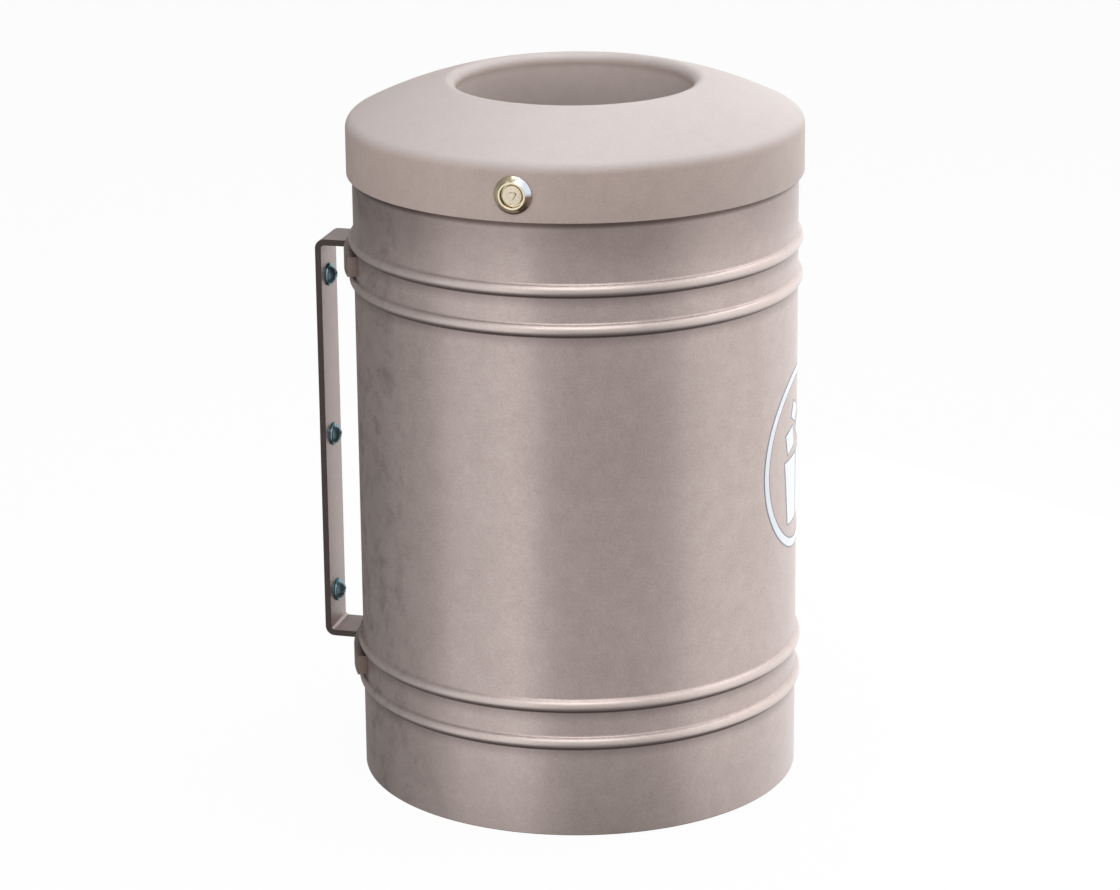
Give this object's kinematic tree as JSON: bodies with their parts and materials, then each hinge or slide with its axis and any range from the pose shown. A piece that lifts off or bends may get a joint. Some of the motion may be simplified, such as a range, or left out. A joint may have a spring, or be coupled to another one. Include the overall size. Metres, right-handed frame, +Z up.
{
  "type": "wall-mounted litter bin",
  "caption": "Round wall-hung litter bin with a slip-over hinged lid, wide rolled mouth, cam lock, lift-out liner with wire handles and a flat-bar rear bracket.",
  "frame": {"origin": "on the bin's axis, at the centre of the base plate's underside, level with the shell's lower edge", "axes": "+Z up; -Y is the front, +Y the side of the wall bracket; the lock is at -X and the lid's hinge at +X"},
  "size_m": [0.3845, 0.4052, 0.579],
  "materials": {
    "painted_steel": "satin warm taupe-grey powder coat with a very fine speckle",
    "blue_zinc": "dark blue-green passivated zinc",
    "nickel": "nickel plate with a warm cast, satin",
    "bright_zinc": "bright zinc plate",
    "galvanised_sheet": "galvanised sheet, dull grey with faint spangle",
    "galvanised_wire": "galvanised wire"
  },
  "bodies": {
    "shell": {"body_shell": "painted_steel", "base_plate": "painted_steel", "upper_saddle": "painted_steel", "lower_saddle": "painted_steel", "saddle_washers": "bright_zinc", "saddle_screws": "bright_zinc", "wall_bracket": "painted_steel", "wall_screws": "blue_zinc", "lock_keeper": "bright_zinc", "hinge_fixed_leaf": "painted_steel", "fixed_leaf_rivets": "bright_zinc", "hinge_pin": "bright_zinc"},
    "lid": {"lid_dome": "painted_steel", "lid_skirt": "painted_steel", "mouth_collar": "painted_steel", "hinge_lid_leaf": "painted_steel", "lid_leaf_rivets": "bright_zinc", "lock_housing": "nickel", "lock_nut": "bright_zinc"},
    "lock": {"lock_plug": "nickel", "lock_cam": "bright_zinc", "cam_washer": "bright_zinc", "cam_screw": "bright_zinc"},
    "liner": {"liner_wall": "galvanised_sheet", "liner_floor": "galvanised_sheet", "front_handle_clip": "galvanised_sheet", "rear_handle_clip": "galvanised_sheet", "clip_rivets": "bright_zinc"},
    "front_handle": {"front_handle": "galvanised_wire"},
    "rear_handle": {"rear_handle": "galvanised_wire"}
  },
  "joints": [
    {"name": "lid_hinge", "type": "hinge", "parent": "shell", "child": "lid", "pos_m": [0.1905, 0, 0.51], "axis": [0, 1, 0], "range_deg": [0, 110]},
    {"name": "lock_turn", "type": "hinge", "parent": "lid", "child": "lock", "pos_m": [-0.1845, 0, 0.5265], "axis": [1, 0, 0], "range_deg": [0, 90]},
    {"name": "liner_lift", "type": "slide", "parent": "shell", "child": "liner", "axis": [0, 0, 1], "range_m": [0, 0.05]},
    {"name": "front_handle_swing", "type": "hinge", "parent": "liner", "child": "front_handle", "pos_m": [0, -0.14219, 0.4615], "axis": [1, 0, 0], "range_deg": [0, 175]},
    {"name": "rear_handle_swing", "type": "hinge", "parent": "liner", "child": "rear_handle", "pos_m": [0, 0.14219, 0.4615], "axis": [-1, 0, 0], "range_deg": [0, 175]}
  ]
}
